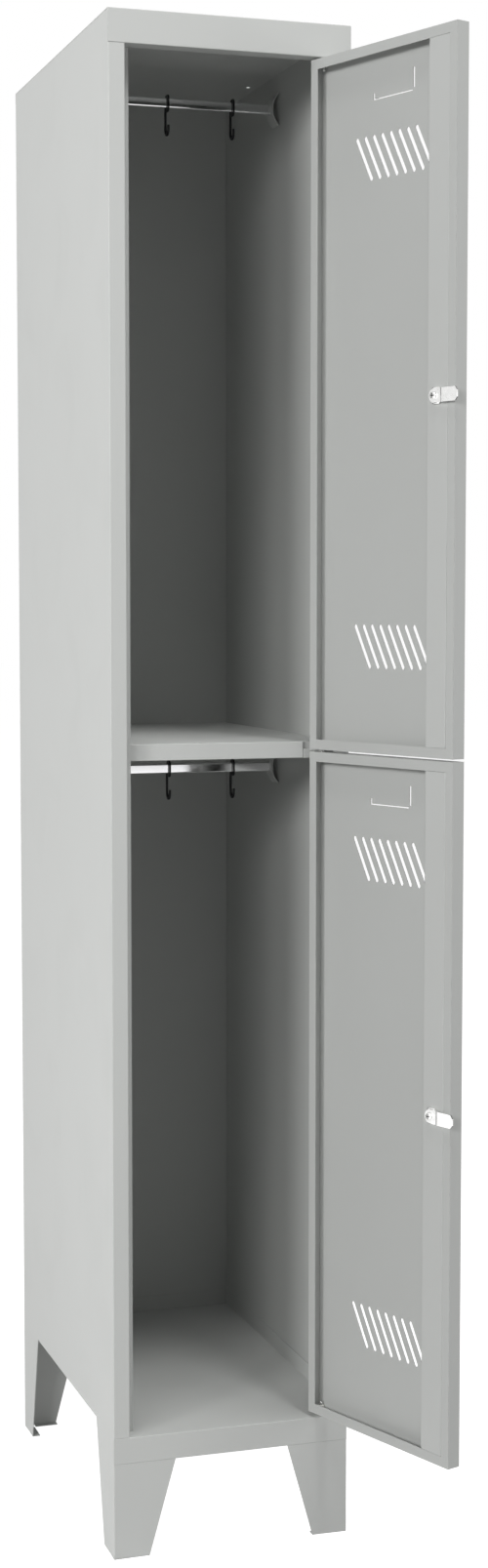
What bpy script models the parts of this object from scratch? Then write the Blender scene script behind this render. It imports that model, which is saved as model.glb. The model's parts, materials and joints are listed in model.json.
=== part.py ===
"""Two-compartment school locker: folded sheet carcass on four legs, two hinged doors
with cam locks, and a hanging rail with sliding hooks in each compartment.

Lengths below are in millimetres in the cabinet's own frame (x right, y back, z up, origin on
the floor at the front left corner); solid() turns them into metres. The cabinet empty then
puts the middle of the whole open locker's footprint on the world origin.
"""
import math

import bmesh
import bpy
from mathutils import Matrix, Vector

# ---------------------------------------------------------------- driving dimensions, mm
MM = 0.001
WIDTH, DEPTH, HEIGHT = 300.0, 500.0, 1850.0
LEG_H = 150.0                      # floor to the bottom of the cabinet
SHEET = 1.0                        # folded steel sheet
GAP = 0.3                          # clearance between touching sheets

STILE_W = 20.0                     # front strip of each side panel
STOP_Y = 22.0                      # depth at which the door stop starts
STOP_W = 11.0                      # door stop, from the inside of the stile's return
REAR_FLANGE = 15.0
LINTEL_Z = 1810.5
LINTEL_RETURN = 22.0
VENT_HOLE = (287.0, 362.0, 3.3)    # small hole in the top: x, y, radius

RAIL_FRONT_Z = 118.0               # bottom of the strip under the doors
UPSTAND = 21.5
SHELF_TOP = 992.0
SHELF_EDGE = 20.0
SHELF_FRONT_Y = STOP_Y + SHEET + GAP
SHELF_NOTCH_X = 249.0

LEG_FRONT_TOP, LEG_FRONT_FOOT = 78.0, 44.5
LEG_SIDE_TOP, LEG_SIDE_FOOT = 86.3, 48.6
LEG_LIP = 11.0

DOOR_FREE_X, DOOR_HINGE_X = 21.5, 278.0
DOOR_T = 17.5                      # depth of the door tray
DOOR_LIP = 12.0
DOORS = {"upper": (983.5, 1808.0), "lower": (155.5, 980.5)}
OPEN_DEG = 110.0                   # how far both doors stand open
PIVOT_X, PIVOT_Y = 268.0, 5.5
PIN_R, PIN_CLEAR = 2.5, 0.08
BUSH_R, BUSH_LEN = 3.9, 8.0

SLOT_LEN, SLOT_W, SLOT_TILT, SLOT_PITCH = 59.0, 5.2, 28.3, 15.0
SLOT_COUNT, SLOT_EDGE = 8, 126.0   # slots in a group; group centre from the door's end
SLOT_FIRST_U = 79.0                # first slot's centre from the hinge edge

LABEL_U = (96.0, 167.4)            # label holder across the door, from the hinge edge
LABEL_DROP = (33.0, 60.0)          # and below the top of the door
LABEL_PROUD, LABEL_RIM = 1.6, 5.0

STIFF_U = (209.5, 244.0)           # stiffening channel, from the hinge edge
LOCK_U = 226.5
BARREL_R, PLUG_R, LOCK_RUN = 8.0, 5.4, 0.08
BARREL_END, NUT_R, NUT_V = 20.8, 10.8, (17.8, 20.5)
CAM_HUB_V, CAM_TIP_V, CAM_T = 21.3, 23.6, 1.5
CAM_REACH, CAM_HALF_W = 41.0, 8.0
SCREW_R, SCREW_HEAD_R = 2.0, 4.2

BAR_Y, BAR_H, BAR_D, BAR_R = 277.0, 12.5, 8.0, 3.0
BAR_Z = {"upper": 1803.2, "lower": 944.1}
BAR_INSET = 7.0                    # bar end to the outside of the cabinet
CLIP_BOW, CLIP_H, CLIP_W, CLIP_T = 9.0, 42.0, 26.0, 1.5
HOOK_X = (62.0, 150.0, 238.0)
HOOK_BAND, HOOK_STEM = 5.2, 2.8

GREY = (0.60, 0.61, 0.60)
ZINC = (0.78, 0.78, 0.77)
BLACK = (0.012, 0.012, 0.013)

TURN = math.radians(OPEN_DEG)


# ---------------------------------------------------------------- helpers
def clear_scene():
    for thing in list(bpy.data.objects):
        bpy.data.objects.remove(thing, do_unlink=True)


def finish(name, colour, roughness, metallic):
    material = bpy.data.materials.new(name)
    material.use_nodes = True
    shader = material.node_tree.nodes["Principled BSDF"]
    shader.inputs["Base Color"].default_value = (*colour, 1.0)
    shader.inputs["Roughness"].default_value = roughness
    shader.inputs["Metallic"].default_value = metallic
    material.diffuse_color = (*colour, 1.0)
    return material


LOOKS = {
    "coat": (GREY, 0.45, 0.0),
    "zinc": (ZINC, 0.28, 1.0),
    "chrome": ((0.85, 0.85, 0.86), 0.12, 1.0),
    "nylon": ((0.75, 0.75, 0.72), 0.5, 0.0),
    "black": (BLACK, 0.4, 0.0),
}


def solid(name, bm, look, parent, pivot=(0.0, 0.0, 0.0)):
    """Turn a bmesh in millimetres into a named object whose origin is at pivot."""
    bmesh.ops.translate(bm, verts=bm.verts, vec=-Vector(pivot))
    bmesh.ops.scale(bm, verts=bm.verts, vec=(MM, MM, MM))
    bmesh.ops.recalc_face_normals(bm, faces=bm.faces)
    mesh = bpy.data.meshes.new(name)
    bm.to_mesh(mesh)
    bm.free()
    obj = bpy.data.objects.new(name, mesh)
    bpy.context.scene.collection.objects.link(obj)
    mesh.materials.append(finish(name + "_finish", *LOOKS[look]))
    obj.location = Vector(pivot) * MM
    obj.parent = parent
    return obj


def empty(name, location, parent=None, turn=0.0):
    marker = bpy.data.objects.new(name, None)
    marker.empty_display_size = 0.03
    marker.location = Vector(location) * MM
    marker.rotation_euler[2] = turn
    marker.parent = parent
    bpy.context.scene.collection.objects.link(marker)
    return marker


def folded(boxes, cuts=()):
    """One closed body from axis-aligned boxes (x0, x1, y0, y1, z0, z1), less the cuts."""
    grid = []
    for low in (0, 2, 4):
        grid.append(sorted({round(b[low + k], 4) for b in [*boxes, *cuts] for k in (0, 1)}))
    counts = [len(g) - 1 for g in grid]

    def inside(i, j, k):
        mid = [(grid[a][n] + grid[a][n + 1]) / 2 for a, n in enumerate((i, j, k))]

        def holds(b):
            return all(b[2 * a] < mid[a] < b[2 * a + 1] for a in range(3))
        return any(holds(b) for b in boxes) and not any(holds(b) for b in cuts)

    filled = {(i, j, k) for i in range(counts[0]) for j in range(counts[1])
              for k in range(counts[2]) if inside(i, j, k)}
    bm = bmesh.new()
    corners = {}

    def corner(i, j, k):
        if (i, j, k) not in corners:
            corners[i, j, k] = bm.verts.new((grid[0][i], grid[1][j], grid[2][k]))
        return corners[i, j, k]

    sides = {
        (-1, 0, 0): ((0, 0, 0), (0, 0, 1), (0, 1, 1), (0, 1, 0)),
        (1, 0, 0): ((1, 0, 0), (1, 1, 0), (1, 1, 1), (1, 0, 1)),
        (0, -1, 0): ((0, 0, 0), (1, 0, 0), (1, 0, 1), (0, 0, 1)),
        (0, 1, 0): ((0, 1, 0), (0, 1, 1), (1, 1, 1), (1, 1, 0)),
        (0, 0, -1): ((0, 0, 0), (0, 1, 0), (1, 1, 0), (1, 0, 0)),
        (0, 0, 1): ((0, 0, 1), (1, 0, 1), (1, 1, 1), (0, 1, 1)),
    }
    for i, j, k in filled:
        for (a, b, c), ring in sides.items():
            if (i + a, j + b, k + c) not in filled:
                bm.faces.new([corner(i + p, j + q, k + r) for p, q, r in ring])
    bmesh.ops.dissolve_limit(bm, angle_limit=math.radians(0.5), verts=bm.verts, edges=bm.edges)
    return bm


AXES = {"x": (1, 2, 0), "y": (0, 2, 1), "z": (0, 1, 2)}


def prism(points, axis, low, high, bm=None):
    """Extrude a flat outline along an axis; points give the other two coordinates."""
    bm = bm or bmesh.new()
    a, b, c = AXES[axis]
    loops = []
    for level in (low, high):
        ring = []
        for p, q in points:
            place = [0.0, 0.0, 0.0]
            place[a], place[b], place[c] = p, q, level
            ring.append(bm.verts.new(place))
        loops.append(ring)
    new = [bm.faces.new(loops[0]), bm.faces.new(loops[1])]
    for n in range(len(points)):
        m = (n + 1) % len(points)
        new.append(bm.faces.new((loops[0][n], loops[0][m], loops[1][m], loops[1][n])))
    bmesh.ops.recalc_face_normals(bm, faces=new)
    return bm


def tube(outer, inner, axis, low, high, bm=None):
    """Like prism, but hollow: the two outlines have the same number of points."""
    bm = bm or bmesh.new()
    a, b, c = AXES[axis]
    rings = []
    for level in (low, high):
        for outline in (outer, inner):
            ring = []
            for p, q in outline:
                place = [0.0, 0.0, 0.0]
                place[a], place[b], place[c] = p, q, level
                ring.append(bm.verts.new(place))
            rings.append(ring)
    new = []
    for one, two in ((0, 1), (2, 3), (0, 2), (1, 3)):
        for n in range(len(outer)):
            m = (n + 1) % len(outer)
            quad = (rings[one][n], rings[one][m], rings[two][m], rings[two][n])
            new.append(bm.faces.new(quad))
    bmesh.ops.recalc_face_normals(bm, faces=new)
    return bm


def circle(u, v, radius, count=24, phase=0.0):
    return [(u + radius * math.cos(phase + 2 * math.pi * n / count),
             v + radius * math.sin(phase + 2 * math.pi * n / count)) for n in range(count)]


def rounded(u, v, width, height, radius, steps=4):
    points = []
    for sx, sy, start in ((1, 1, 0), (-1, 1, 90), (-1, -1, 180), (1, -1, 270)):
        cu, cv = u + sx * (width / 2 - radius), v + sy * (height / 2 - radius)
        for n in range(steps + 1):
            angle = math.radians(start + 90 * n / steps)
            points.append((cu + radius * math.cos(angle), cv + radius * math.sin(angle)))
    return points


def capsule(u, v, length, width, tilt):
    """Slot outline whose long axis leans from the vertical by tilt towards +u at the top."""
    points = []
    reach = length / 2 - width / 2
    for side in (1, -1):
        cu = u + side * reach * math.sin(tilt)
        cv = v + side * reach * math.cos(tilt)
        start = -tilt + (0 if side > 0 else math.pi)
        for n in range(5):
            angle = start + math.pi * n / 4
            points.append((cu + width / 2 * math.cos(angle), cv + width / 2 * math.sin(angle)))
    return points


def ribbon(path, half):
    """Outline of a strip that follows a path of points, half wide on each side."""
    left, right = [], []
    for n, point in enumerate(path):
        before = Vector(path[max(n - 1, 0)])
        after = Vector(path[min(n + 1, len(path) - 1)])
        run = (after - before).normalized()
        across = Vector((-run.y, run.x)) * half
        left.append(tuple(Vector(point) + across))
        right.append(tuple(Vector(point) - across))
    return left + right[::-1]


def combine(base, others, operation):
    """Boolean of bmeshes in the same frame, done with the exact solver."""
    def holder(bm, name):
        mesh = bpy.data.meshes.new(name)
        bmesh.ops.recalc_face_normals(bm, faces=bm.faces)
        bm.to_mesh(mesh)
        bm.free()
        obj = bpy.data.objects.new(name, mesh)
        bpy.context.scene.collection.objects.link(obj)
        return obj
    body = holder(base, "working_body")
    for other in others:
        tool = holder(other, "working_tool")
        tool.hide_render, tool.display_type = True, 'WIRE'
        step = body.modifiers.new("join_or_cut", 'BOOLEAN')
        step.operation, step.solver, step.object = operation, 'EXACT', tool
        bpy.context.view_layer.update()
        graph = bpy.context.evaluated_depsgraph_get()
        result = bmesh.new()
        result.from_mesh(body.evaluated_get(graph).to_mesh())
        body.modifiers.clear()
        bpy.data.objects.remove(tool, do_unlink=True)
        result.to_mesh(body.data)
        result.free()
    result = bmesh.new()
    result.from_mesh(body.data)
    bpy.data.objects.remove(body, do_unlink=True)
    bmesh.ops.remove_doubles(result, verts=result.verts, dist=0.01)
    bmesh.ops.dissolve_limit(result, angle_limit=math.radians(0.2),
                             verts=result.verts, edges=result.edges)
    return result


def mirrored(bm, across_x=False, across_y=False):
    """Mirror about the cabinet's middle planes."""
    for vert in bm.verts:
        if across_x:
            vert.co.x = WIDTH - vert.co.x
        if across_y:
            vert.co.y = DEPTH - vert.co.y
    bmesh.ops.recalc_face_normals(bm, faces=bm.faces)
    return bm


# ---------------------------------------------------------------- carcass
def side_panel(name, right, parent):
    """Side sheet with the front stile, its return, the door stop and the rear flange."""
    z0, z1 = LEG_H + GAP, LINTEL_Z - GAP
    top = HEIGHT - SHEET - GAP
    boxes = [
        (0, SHEET, 0, DEPTH, LEG_H, z1),
        (0, SHEET, SHEET + GAP, DEPTH - SHEET - GAP, z1, top),
        (0, SHEET, DEPTH - SHEET - GAP, DEPTH, LEG_H, HEIGHT - 14 - GAP),
        (0, STILE_W, 0, SHEET, z0, z1),
        (STILE_W - SHEET, STILE_W, 0, STOP_Y + SHEET, z0, z1),
        (STILE_W - SHEET, STILE_W - SHEET + STOP_W, STOP_Y, STOP_Y + SHEET, z0, z1),
        (0, REAR_FLANGE, DEPTH - SHEET, DEPTH, LEG_H, HEIGHT - 14 - GAP),
    ]
    cuts = []
    if right:                       # gap in the stop for the middle hinge tongue
        cuts.append((STILE_W, STILE_W + STOP_W, STOP_Y - 1, STOP_Y + 2, 980.8, 983.3))
    bm = folded(boxes, cuts)
    if right:
        mirrored(bm, across_x=True)
    return solid(name, bm, "coat", parent)


def top_panel(parent):
    rear = HEIGHT - 14
    bm = folded([
        (0, WIDTH, 0, DEPTH, HEIGHT - SHEET, HEIGHT),
        (0, WIDTH, 0, SHEET, LINTEL_Z, HEIGHT),
        (SHEET + GAP, WIDTH - SHEET - GAP, 0, LINTEL_RETURN, LINTEL_Z, LINTEL_Z + SHEET),
        (SHEET + GAP, WIDTH - SHEET - GAP, LINTEL_RETURN - SHEET, LINTEL_RETURN,
         LINTEL_Z, LINTEL_Z + 10),
        (0, WIDTH, DEPTH - SHEET, DEPTH, rear, HEIGHT),
    ])
    x, y, r = VENT_HOLE
    cutters = [prism(circle(x, y, r), "z", HEIGHT - 3, HEIGHT + 2),
               prism(circle(WIDTH - x, y, r), "z", HEIGHT - 3, HEIGHT + 2),
               prism(circle(PIVOT_X, PIVOT_Y, PIN_R + GAP), "z", LINTEL_Z - 2, LINTEL_Z + 3)]
    return solid("top_panel", combine(bm, cutters, 'DIFFERENCE'), "coat", parent)


def back_panel(parent):
    x0, x1 = SHEET + GAP, WIDTH - SHEET - GAP
    y1 = DEPTH - SHEET - GAP
    bm = folded([(x0, x1, y1 - SHEET, y1, LEG_H + GAP, HEIGHT - SHEET - GAP)])
    return solid("back_panel", bm, "coat", parent)


def floor_panel(parent):
    """Floor tray: upstands at the sides and back, folded down at the front."""
    x0, x1 = SHEET + GAP, WIDTH - SHEET - GAP
    y1 = DEPTH - 2 * (SHEET + GAP)
    top, low = LEG_H, LEG_H - SHEET
    start = STOP_Y + SHEET + 1
    bm = folded([
        (x0, x1, 0, y1, low, top),
        (0, WIDTH, 0, SHEET, RAIL_FRONT_Z, top),
        (84, WIDTH - 84, 0, 12, RAIL_FRONT_Z, RAIL_FRONT_Z + SHEET),
        (x0, x0 + SHEET, start, y1, low, top + UPSTAND),
        (x1 - SHEET, x1, start, y1, low, top + UPSTAND),
        (x0, x1, y1 - SHEET, y1, low, top + UPSTAND),
    ])
    hole = prism(circle(PIVOT_X, PIVOT_Y, PIN_R + GAP), "z", low - 2, top + 2)
    return solid("floor_panel", combine(bm, [hole], 'DIFFERENCE'), "coat", parent)


def middle_shelf(parent):
    x0, x1 = SHEET + GAP, WIDTH - SHEET - GAP
    y0, y1 = SHELF_FRONT_Y, DEPTH - 2 * (SHEET + GAP)
    top, low = SHELF_TOP, SHELF_TOP - SHEET
    foot = SHELF_TOP - SHELF_EDGE
    bm = folded([
        (x0, SHELF_NOTCH_X, y0, y1, low, top),
        (SHELF_NOTCH_X, x1, y0 + 4, y1, low, top),
        (x0, SHELF_NOTCH_X, y0, y0 + SHEET, foot, top),
        (x0, SHELF_NOTCH_X, y0, y0 + 12, foot, foot + SHEET),
        (SHELF_NOTCH_X - SHEET, SHELF_NOTCH_X, y0, y0 + 5, foot, top),
        (SHELF_NOTCH_X - SHEET, x1, y0 + 4, y0 + 5, foot, top),
        (SHELF_NOTCH_X - SHEET, x1, y0 + 4, y0 + 12, foot, foot + SHEET),
        (x0, x0 + SHEET, y0 + 14, y1, foot, top),
        (x1 - SHEET, x1, y0 + 14, y1, foot, top),
    ])
    return solid("middle_shelf", bm, "coat", parent)


def leg(name, right, rear, parent):
    """Tapered corner leg: two flanges, inward foot lips, and tabs welded under the body."""
    front_h = LEG_H - GAP if rear else RAIL_FRONT_Z - GAP
    top = LEG_H - GAP
    slope = (LEG_FRONT_TOP - LEG_FRONT_FOOT) / RAIL_FRONT_Z
    reach = min(LEG_FRONT_FOOT + slope * front_h, 84.0)
    front = prism([(0, 0), (LEG_FRONT_FOOT, 0), (reach, front_h), (0, front_h)], "y", 0, SHEET)
    start = 0 if rear else SHEET + GAP
    side = [(0, 0), (LEG_SIDE_FOOT, 0), (LEG_SIDE_TOP, top), (start, top)]
    if not rear:
        side += [(start, front_h), (0, front_h)]
    parts = [prism(side, "x", 0, SHEET)]
    lips = [(13.0, LEG_FRONT_FOOT, 0, LEG_LIP, 0, SHEET),
            (0, LEG_LIP, 13.0, LEG_SIDE_FOOT, 0, SHEET)]
    weld = LEG_H - SHEET - GAP
    tab_y = 2 * (SHEET + GAP) + SHEET
    lips.append((0, 14.0, tab_y, LEG_SIDE_TOP - 3, weld - SHEET, weld))
    if rear:
        lips.append((tab_y, 78.0, 0, 14.0, weld - SHEET, weld))
    else:
        lips.append((3.0, LEG_FRONT_TOP - 4, 0, 2 * SHEET + GAP, front_h - SHEET, front_h))
        tab = (SHEET + GAP, 2 * SHEET + GAP, front_h - SHEET, weld - 3)
        lips.append((3.0, LEG_FRONT_TOP - 4, *tab))
    for lip in lips:
        parts.append(folded([lip]))
    bm = combine(front, parts, 'UNION')
    mirrored(bm, right, rear)
    return solid(name, bm, "coat", parent)


def hinge_hardware(parent):
    """Middle tongue and the three fixed pins that both doors turn on."""
    y0 = STOP_Y + SHEET + GAP
    z0, z1 = 981.3, 982.8
    bm = folded([
        (SHELF_NOTCH_X + GAP, 279.0, y0, y0 + 1.5, SHELF_TOP - SHELF_EDGE, z1),
        (258.0, 279.0, PIVOT_Y, y0 + 1.5, z0, z1),
    ])
    nose = prism(circle(PIVOT_X, PIVOT_Y, 5.0), "z", z0, z1)
    web = folded([(PIVOT_X - 5.0, PIVOT_X + 5.0, PIVOT_Y, 12.0, z0, z1)])
    bm = combine(bm, [nose, web], 'UNION')
    hole = prism(circle(PIVOT_X, PIVOT_Y, PIN_R + GAP), "z", z0 - 2, z1 + 2)
    solid("middle_hinge_bracket", combine(bm, [hole], 'DIFFERENCE'), "coat", parent)

    def stepped(name, steps):
        body = None
        for radius, low, high in steps:
            piece = prism(circle(0, 0, radius), "z", low, high)
            body = piece if body is None else combine(body, [piece], 'UNION')
        bmesh.ops.translate(body, verts=body.verts, vec=(PIVOT_X, PIVOT_Y, 0))
        solid(name, body, "zinc", parent, (PIVOT_X, PIVOT_Y, 0))

    under = LINTEL_Z + SHEET + GAP
    stepped("top_hinge_pin", [(PIN_R, 1795.0, under + 1), (4.5, under, under + 2)])
    stepped("middle_hinge_pin", [(PIN_R, 969.0, 995.0)])
    floor_low = LEG_H - SHEET - GAP
    stepped("bottom_hinge_pin", [(PIN_R, floor_low - 1, 168.0), (4.5, floor_low - 2, floor_low),
                                 (4.2, LEG_H + GAP, LEG_H + 4.7)])


def hanging_bar(level, parent):
    z = BAR_Z[level]
    bm = tube(rounded(BAR_Y, z, BAR_D, BAR_H, BAR_R),
              rounded(BAR_Y, z, BAR_D - 2, BAR_H - 2, BAR_R - 1), "x",
              BAR_INSET, WIDTH - BAR_INSET)
    solid(f"{level}_hanging_bar", bm, "chrome", parent)
    for side in ("left", "right"):
        bend = []
        for n in range(13):
            share = n / 12
            bow = CLIP_BOW * math.sin(math.pi * share) ** 0.8
            bend.append((SHEET + GAP + CLIP_T / 2 + bow, z + CLIP_H * (share - 0.5)))
        strap = prism(ribbon(bend, CLIP_T / 2), "y", BAR_Y - CLIP_W / 2, BAR_Y + CLIP_W / 2)
        hole = prism(rounded(BAR_Y, z, BAR_D + 2 * GAP, BAR_H + 2 * GAP, BAR_R), "x", -5, 30)
        strap = combine(strap, [hole], 'DIFFERENCE')
        if side == "right":
            mirrored(strap, across_x=True)
        solid(f"{level}_bar_clip_{side}", strap, "coat", parent)


def hook(name, x, z, parent):
    """Plastic hook: a band that slides on the bar, and a hanging J open to the front."""
    front, back = BAR_Y - 7.2, BAR_Y + 6.6
    mid = (front + back) / 2
    band = tube(rounded(mid, z - 0.3, back - front, 19.0, 4.0),
                rounded(mid, z - 0.3, back - front - 4.0, 15.0, 2.4), "x",
                x - HOOK_BAND / 2, x + HOOK_BAND / 2)
    stem = back + 1.0
    path = [(back - 0.9, z - 1.0), (stem - 0.6, z - 7.0), (stem, z - 12.0), (stem, z - 31.0)]
    r_y, r_z = (stem - front) / 2 - 0.5, 9.0
    for n in range(1, 9):
        angle = math.pi * n / 8
        path.append((stem - r_y + r_y * math.cos(angle), z - 31.0 - r_z * math.sin(angle)))
    path += [(stem - 2 * r_y - 0.2, z - 28.0)]
    jay = prism(ribbon(path, HOOK_STEM / 2), "x", x - 1.5, x + 1.5)
    return solid(name, combine(band, [jay], 'UNION'), "black", parent, (x, BAR_Y, z))


# ---------------------------------------------------------------- doors
def door_panel(level, z0, z1, parent):
    """Door tray with turned lips, slanted vent slots and a pressed label holder."""
    x0, x1, t = DOOR_FREE_X, DOOR_HINGE_X, DOOR_T
    u0, u1 = (x1 - u for u in reversed(LABEL_U))
    top, low = (z1 - d for d in LABEL_DROP)
    rim, out = LABEL_RIM, -LABEL_PROUD
    boxes = [
        (x0, x1, 0, SHEET, z0, z1),
        (x0, x0 + SHEET, 0, t, z0, z1), (x1 - SHEET, x1, 0, t, z0, z1),
        (x0, x1, 0, t, z0, z0 + SHEET), (x0, x1, 0, t, z1 - SHEET, z1),
        (x0, x0 + DOOR_LIP, t - SHEET, t, z0, z1), (x1 - DOOR_LIP, x1, t - SHEET, t, z0, z1),
        (x0, x1, t - SHEET, t, z0, z0 + DOOR_LIP), (x0, x1, t - SHEET, t, z1 - DOOR_LIP, z1),
        # card holder: a stop on the free side, a ledge below, a channel on the hinge side
        (u0 - 1, u0, out, SHEET, low - 1, top),
        (u0 - 1, u1 + 2, out, SHEET, low - 1, low),
        (u1 - 2.4, u1 - 1.4, out, SHEET, low + 1.4, top),
        (u1 - 1.4 - rim, u1 - 1.4, out, out + 0.8, low + 1.4, top),
    ]
    cuts = [
        (u0, u0 + 2.9, -0.01, SHEET + 0.01, low + 3.5, top - 0.5),
        (u0 + 3.9, u1, -0.01, SHEET + 0.01, low, low + 1.4),
        (u1 - 1.4, u1 + 1, -0.01, SHEET + 0.01, low, low + 8.0),
    ]
    bm = folded(boxes, cuts)
    cutters = bmesh.new()
    for end in (z1 - SLOT_EDGE, z0 + SLOT_EDGE):
        for n in range(SLOT_COUNT):
            slot = capsule(x1 - SLOT_FIRST_U - n * SLOT_PITCH, end, SLOT_LEN, SLOT_W,
                           math.radians(SLOT_TILT))
            prism(slot, "y", -2, SHEET + 2, cutters)
    prism(circle(x1 - LOCK_U, (z0 + z1) / 2, BARREL_R + GAP), "y", -2, SHEET + 2, cutters)
    for level_z in (z0, z1):
        prism(circle(PIVOT_X, PIVOT_Y, BUSH_R + GAP), "z", level_z - 2, level_z + 2, cutters)
    bm = combine(bm, [cutters], 'DIFFERENCE')
    bmesh.ops.translate(bm, verts=bm.verts, vec=(-PIVOT_X, -PIVOT_Y, 0))
    return solid(f"{level}_door_panel", bm, "coat", parent)


def build_door(level, cabinet):
    z0, z1 = DOORS[level]
    mid = (z0 + z1) / 2
    hinge = empty(f"{level}_door_hinge", (PIVOT_X, PIVOT_Y, 0), cabinet, TURN)
    door_panel(level, z0, z1, hinge)

    def place(bm):
        bmesh.ops.translate(bm, verts=bm.verts, vec=(-PIVOT_X, -PIVOT_Y, 0))
        return bm

    a, b = DOOR_HINGE_X - STIFF_U[1], DOOR_HINGE_X - STIFF_U[0]
    lock_x = DOOR_HINGE_X - LOCK_U
    ends = (z0 + DOOR_LIP + GAP, z1 - DOOR_LIP - GAP)
    channel = folded([
        (a, b, DOOR_T - SHEET, DOOR_T, *ends),
        (a, a + SHEET, SHEET + GAP, DOOR_T, *ends),
        (b - SHEET, b, SHEET + GAP, DOOR_T, *ends),
    ])
    hole = prism(circle(lock_x, mid, BARREL_R + GAP), "y", DOOR_T - 3, DOOR_T + 2)
    channel = combine(channel, [hole], 'DIFFERENCE')
    solid(f"{level}_door_stiffener", place(channel), "coat", hinge)

    bore = PIN_R + PIN_CLEAR
    for end, low in (("bottom", z0 - 0.2), ("top", z1 + 0.2 - BUSH_LEN)):
        bush = tube(circle(0, 0, BUSH_R), circle(0, 0, bore), "z", low, low + BUSH_LEN)
        solid(f"{level}_door_bush_{end}", bush, "nylon", hinge)

    axis = (lock_x - PIVOT_X, -PIVOT_Y, mid)
    lock = empty(f"{level}_lock_axis", axis, hinge)

    def fit(name, bm, look):
        return solid(f"{level}_{name}", bm, look, lock)

    inner = circle(0, 0, PLUG_R + LOCK_RUN, 32)
    barrel = tube(circle(0, 0, BARREL_R, 32), inner, "y", -0.5, BARREL_END)
    face = tube(circle(0, 0, 11.0, 32), inner, "y", -2.8, -GAP)
    fit("lock_housing", combine(barrel, [face], 'UNION'), "zinc")
    hexagon = []
    for n in range(6):
        for step in range(4):
            one, two = (circle(0, 0, NUT_R, 6)[n], circle(0, 0, NUT_R, 6)[(n + 1) % 6])
            hexagon.append(tuple(one[k] + (two[k] - one[k]) * step / 4 for k in (0, 1)))
    ring = circle(0, 0, BARREL_R + GAP, 24)
    fit("lock_nut", tube(hexagon, ring, "y", *NUT_V), "zinc")
    plug = prism(circle(0, 0, PLUG_R, 32), "y", -3.2, 21.0)
    keyway = folded([(-0.6, 0.6, -5.0, 6.0, -3.6, 3.6)])
    bore_hole = prism(circle(0, 0, SCREW_R + GAP), "y", 12.0, 30.0)
    fit("lock_plug", combine(plug, [keyway, bore_hole], 'DIFFERENCE'), "zinc")
    fit("lock_cam", cam_plate(), "zinc")
    screw = prism(circle(0, 0, SCREW_R), "y", 13.0, CAM_HUB_V + CAM_T + 1)
    head_v = CAM_HUB_V + CAM_T + GAP
    head = prism(circle(0, 0, SCREW_HEAD_R), "y", head_v, head_v + 2.2)
    slots = [folded([(-0.5, 0.5, head_v + 1.2, head_v + 4, -2.6, 2.6),
                     (-2.6, 2.6, head_v + 1.2, head_v + 4, -0.5, 0.5)])]
    screw = combine(screw, [head], 'UNION')
    fit("cam_screw", combine(screw, slots, 'DIFFERENCE'), "zinc")


def cam_plate():
    """Flat cam with a joggle, reaching from the hub past the free edge of the door."""
    stations = []
    for n in range(1, 8):
        angle = math.pi / 2 * n / 7
        stations.append((-CAM_HALF_W * math.cos(angle), CAM_HALF_W * math.sin(angle), CAM_HUB_V))
    stations += [(11.0, CAM_HALF_W, CAM_HUB_V), (15.5, CAM_HALF_W, CAM_TIP_V),
                 (CAM_REACH - 3, CAM_HALF_W, CAM_TIP_V), (CAM_REACH, CAM_HALF_W - 3, CAM_TIP_V)]
    bm = bmesh.new()
    rings = []
    for reach, half, v in stations:
        ring = [bm.verts.new((-reach, v + dv, w))
                for dv, w in ((0, -half), (CAM_T, -half), (CAM_T, half), (0, half))]
        rings.append(ring)
    for one, two in zip(rings, rings[1:]):
        for n in range(4):
            m = (n + 1) % 4
            bm.faces.new((one[n], one[m], two[m], two[n]))
    bm.faces.new(rings[0])
    bm.faces.new(rings[-1])
    bmesh.ops.recalc_face_normals(bm, faces=bm.faces)
    hole = prism(circle(0, 0, SCREW_R + GAP), "y", CAM_HUB_V - 2, CAM_HUB_V + 4)
    return combine(bm, [hole], 'DIFFERENCE')


def footprint_middle():
    """Middle of the open locker's bounding box, in cabinet millimetres."""
    c, s = math.cos(TURN), math.sin(TURN)

    def swung(x, y):
        dx, dy = x - PIVOT_X, y - PIVOT_Y
        return PIVOT_X + c * dx - s * dy, PIVOT_Y + s * dx + c * dy
    corners = [(0.0, 0.0), (WIDTH, DEPTH), swung(DOOR_FREE_X, 0.0)]
    lock_x = DOOR_HINGE_X - LOCK_U
    corners.append(swung(lock_x - CAM_REACH, CAM_TIP_V + CAM_T))
    xs, ys = [p[0] for p in corners], [p[1] for p in corners]
    return (min(xs) + max(xs)) / 2, (min(ys) + max(ys)) / 2


def main():
    clear_scene()
    mid_x, mid_y = footprint_middle()
    cabinet = empty("cabinet", (-mid_x, -mid_y, 0))
    side_panel("left_side_panel", False, cabinet)
    side_panel("right_side_panel", True, cabinet)
    top_panel(cabinet)
    back_panel(cabinet)
    floor_panel(cabinet)
    middle_shelf(cabinet)
    for end, rear in (("front", False), ("rear", True)):
        for side, right in (("left", False), ("right", True)):
            leg(f"leg_{end}_{side}", right, rear, cabinet)
    hinge_hardware(cabinet)
    for level in ("upper", "lower"):
        hanging_bar(level, cabinet)
        build_door(level, cabinet)
        for side, x in zip(("left", "middle", "right"), HOOK_X):
            hook(f"{level}_hook_{side}", x, BAR_Z[level], cabinet)
    bpy.context.view_layer.update()


main()
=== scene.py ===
"""Powder-coated school locker with two open doors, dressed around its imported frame.

Every length inside the builders is in millimetres in the cabinet's own axes (x right, y back,
z up, from the front left corner of the floor under the cabinet). Place turns them into metres
in the row's frame when a piece is published.
"""

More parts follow.
